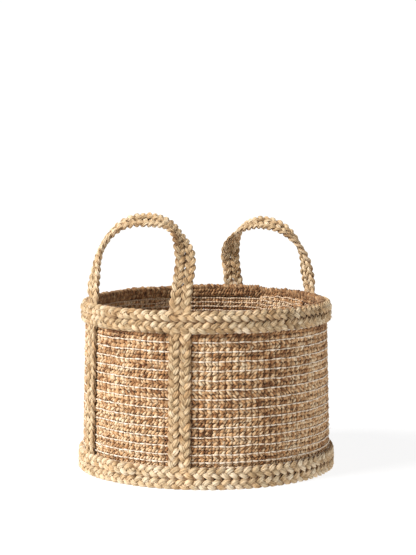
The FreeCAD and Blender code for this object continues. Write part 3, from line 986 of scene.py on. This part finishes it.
RING_STITCH_POINTS = 1000
STITCH_SIZE = 0.7 * MM
POINTS_CLEAR_BELOW_FOLD = 28
POINTS_CLEAR_ABOVE_FOLD = 4


def add_stitches(mesh, points, side, out, pitch, reach, depth):
    """A sewing thread that crosses a groove to and fro, sunk below the plaits' faces."""
    place = TURN * distances(points) / pitch
    line = points + side * (reach * np.sin(place))[:, None]
    line = line + out * (-depth + 0.5 * MM * np.cos(2 * place))[:, None]
    heading = headings(line)
    across = unit(np.cross(out, heading))
    size = np.full(len(line), STITCH_SIZE)
    # the sunk thread gets a fixed painted shade through its depth value
    tone = np.tile([0.45, 0.6, 0.4], (len(line), 1))
    mesh.add_tube(line, across, np.cross(heading, across), size, size, THREAD_SIDES, tone)


def make_ring_stitches(node):
    """The thread that joins the two plaits of a band."""
    low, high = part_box(node)
    out = radials(np.linspace(0, TURN, RING_STITCH_POINTS))
    line = out * (high.x - 3.2 * MM)
    line[:, 2] = (low.z + high.z) / 2
    side = np.tile(UP, (RING_STITCH_POINTS, 1))
    mesh = YarnMesh()
    add_stitches(mesh, line, side, out, pitch=12 * MM, reach=2.2 * MM, depth=0.8 * MM)
    finish_piece(mesh, "stitches_" + node, "warp", "cotton_thread", node)


def make_strap_stitches(side):
    """The threads up the two wall straps and over the handle of one side."""
    along, points, normals, is_loop, press = strap_line(side)
    widths = unit(np.cross(headings(points, along=along), normals))
    top = int(np.argmax(is_loop > 0.5))
    foot = int(np.argmax(press < 0.2))
    count = len(along)
    below, above = top - POINTS_CLEAR_BELOW_FOLD, top + POINTS_CLEAR_ABOVE_FOLD
    stretches = {
        f"{side}_front_strap_thread": (slice(foot, below), "basket"),
        f"{side}_handle_thread": (slice(above, count - above), f"{side}_handle"),
        f"{side}_back_strap_thread": (slice(count - below, count - foot), "basket"),
    }
    for node, (part, body) in stretches.items():
        mesh = YarnMesh()
        add_stitches(mesh, points[part], widths[part], normals[part], pitch=13 * MM,
                     reach=1.8 * MM, depth=0.6 * MM)
        finish_piece(mesh, "stitches_" + node, "warp", "cotton_thread", node, body=body)


# ------------------------------------------------------------------ stray fibres

STRAY_FIBRES = 420


def add_fibre(mesh, root, out, length):
    """One thin bent fibre that leaves the surface at a root."""
    share = np.linspace(0, 1, 7)[:, None]
    lean = unit(out[None, :] * 0.6 + rng.normal(0, 0.6, (1, 3)))[0]
    bend = unit(rng.normal(0, 1, (1, 3)))[0]
    line = root + length * (share * lean + 0.35 * share ** 2 * bend)
    heading = headings(line)
    across = unit(np.cross(heading, out + 0.01 * bend))
    size = 0.13 * MM * (1 - 0.7 * share[:, 0])
    tone = np.tile([0.8, 1.0, 0.2], (len(line), 1))
    mesh.add_tube(line, across, np.cross(heading, across), size, size, 4, tone)


def make_stray_fibres():
    """Loose fibre ends on the wall and the bands."""
    mesh = YarnMesh()
    for _ in range(STRAY_FIBRES):
        angle = rng.random() * TURN
        radial = np.array([math.cos(angle), math.sin(angle), 0.0])
        on_wall = rng.uniform(WALL_LOW, WALL_HIGH)
        on_rim = rng.uniform(RIM_BAND_LOW, RIM_TOP - 3 * MM)
        height = rng.choice((on_wall, on_rim))
        on_band = height > RIM_BAND_LOW or height < BASE_BAND_HIGH
        radius = wall_radius(height) + (7.5 * MM if on_band else 0.5 * MM)
        add_fibre(mesh, radial * radius + UP * height, radial, rng.uniform(3, 9) * MM)
    finish_piece(mesh, "stray_fibres", "braid", "woven_jute")


# ------------------------------------------------------------------ build the object

BASE_LEAF = 12.6 * MM
# the base band's plaits are lightened as painted bounce light from the floor
BASE_BOUNCE_LIGHTENING = 0.22
RIM_LEAF = 12.3 * MM
WIDE = 1.18
NARROW = 1.1

make_ring_braid("base_lower_plait", 0, BASE_LEAF, WIDE, bounce_lightening=BASE_BOUNCE_LIGHTENING)
make_ring_braid("base_upper_plait", 6, BASE_LEAF, WIDE, bounce_lightening=BASE_BOUNCE_LIGHTENING, lap_angle=BASE_LAP)
make_ring_braid("rim_lower_plait", 0, RIM_LEAF, WIDE)
make_ring_braid("rim_upper_plait", 22, RIM_LEAF, NARROW, on_edge=True)
for side in LOOPS:
    make_strap(side)
    make_strap_stitches(side)
for band in ("base", "rim"):
    make_ring_stitches(f"{band}_band_thread")
make_wall()
make_hem()
make_wall_threads()
make_lap()
make_base()
make_stray_fibres()

# ------------------------------------------------------------------ floor, light and camera

VIEW_AZIMUTH = math.radians(-51.7)
CAMERA_DISTANCE = 2.397
CAMERA_HEIGHT = 0.494
CAMERA_PITCH = math.radians(5.15)
CAMERA_SHIFT = 0.0026
FOCAL = 140.7
SENSOR_WIDTH = 36

FLOOR_REACH = 8.0
FLOOR_GREY = (0.2, 0.2, 0.2, 1)
FLOOR_GLOW = 0.87
WHITE = (1, 1, 1, 1)
SKY_FADE = {"From Min": 0.15, "From Max": 0.4, "To Min": 1.02, "To Max": 0.24}

LAMP_AZIMUTH = math.radians(-64)
LAMP_ELEVATION = math.radians(42)
LAMP_STRENGTH = 4.1
LAMP_SPREAD = math.radians(24)
LAMP_WARMTH = 0.985


def view_axes():
    """The view's right and forward directions on the floor."""
    right = np.array([math.cos(VIEW_AZIMUTH), math.sin(VIEW_AZIMUTH), 0])
    forward = np.array([-math.sin(VIEW_AZIMUTH), math.cos(VIEW_AZIMUTH), 0])
    return right, forward


def make_floor():
    """A whitish floor that glows a little, so that the object's shadow on it stays faint."""
    mesh = bpy.data.meshes.new("floor")
    corners = [(x * FLOOR_REACH, y * FLOOR_REACH, 0) for x, y in ((-1, -1), (1, -1), (1, 1), (-1, 1))]
    mesh.from_pydata(corners, [], [(0, 1, 2, 3)])
    floor = bpy.data.objects.new("floor", mesh)
    bpy.context.scene.collection.objects.link(floor)
    n = Nodes("floor_paint")
    n.surface.inputs["Base Color"].default_value = FLOOR_GREY
    n.surface.inputs["Roughness"].default_value = 0.9
    n.surface.inputs["Specular IOR Level"].default_value = 0.0
    n.surface.inputs["Emission Color"].default_value = WHITE
    n.surface.inputs["Emission Strength"].default_value = FLOOR_GLOW
    mesh.materials.append(n.material)


def make_world():
    """White low down all round, dimmer overhead, so that the lamp shapes the object."""
    world = bpy.data.worlds.new("soft_white")
    world.use_nodes = True
    tree = world.node_tree
    direction = tree.nodes.new("ShaderNodeTexCoord").outputs["Generated"]
    parts = tree.nodes.new("ShaderNodeSeparateXYZ")
    tree.links.new(direction, parts.inputs["Vector"])
    fade = tree.nodes.new("ShaderNodeMapRange")
    for name, value in SKY_FADE.items():
        fade.inputs[name].default_value = value
    tree.links.new(parts.outputs["Z"], fade.inputs["Value"])
    tree.links.new(fade.outputs["Result"], tree.nodes["Background"].inputs["Strength"])
    tree.nodes["Background"].inputs["Color"].default_value = WHITE
    bpy.context.scene.world = world


def make_lamp():
    """A broad soft lamp far away. Its azimuth is measured from behind the camera, to its right."""
    right, forward = view_axes()
    level = math.sin(LAMP_AZIMUTH) * right - math.cos(LAMP_AZIMUTH) * forward
    toward = Vector(level * math.cos(LAMP_ELEVATION) + UP * math.sin(LAMP_ELEVATION))
    light = bpy.data.lights.new("key", "SUN")
    light.energy = LAMP_STRENGTH
    light.angle = LAMP_SPREAD
    light.color = (1.0, LAMP_WARMTH, LAMP_WARMTH ** 2)
    lamp = bpy.data.objects.new("key", light)
    lamp.rotation_euler = toward.to_track_quat("Z", "Y").to_euler()
    bpy.context.scene.collection.objects.link(lamp)


def make_camera():
    """A long lens that looks slightly down at the basket."""
    right, forward = view_axes()
    camera = bpy.data.objects.new("camera", bpy.data.cameras.new("camera"))
    camera.data.sensor_fit = "HORIZONTAL"
    camera.data.sensor_width = SENSOR_WIDTH
    camera.data.lens = FOCAL
    camera.location = right * CAMERA_SHIFT - forward * CAMERA_DISTANCE + UP * CAMERA_HEIGHT
    camera.rotation_euler = (math.pi / 2 - CAMERA_PITCH, 0, VIEW_AZIMUTH)
    bpy.context.scene.collection.objects.link(camera)
    bpy.context.scene.camera = camera


make_floor()
make_world()
make_lamp()
make_camera()
bpy.context.scene.view_settings.view_transform = "Standard"
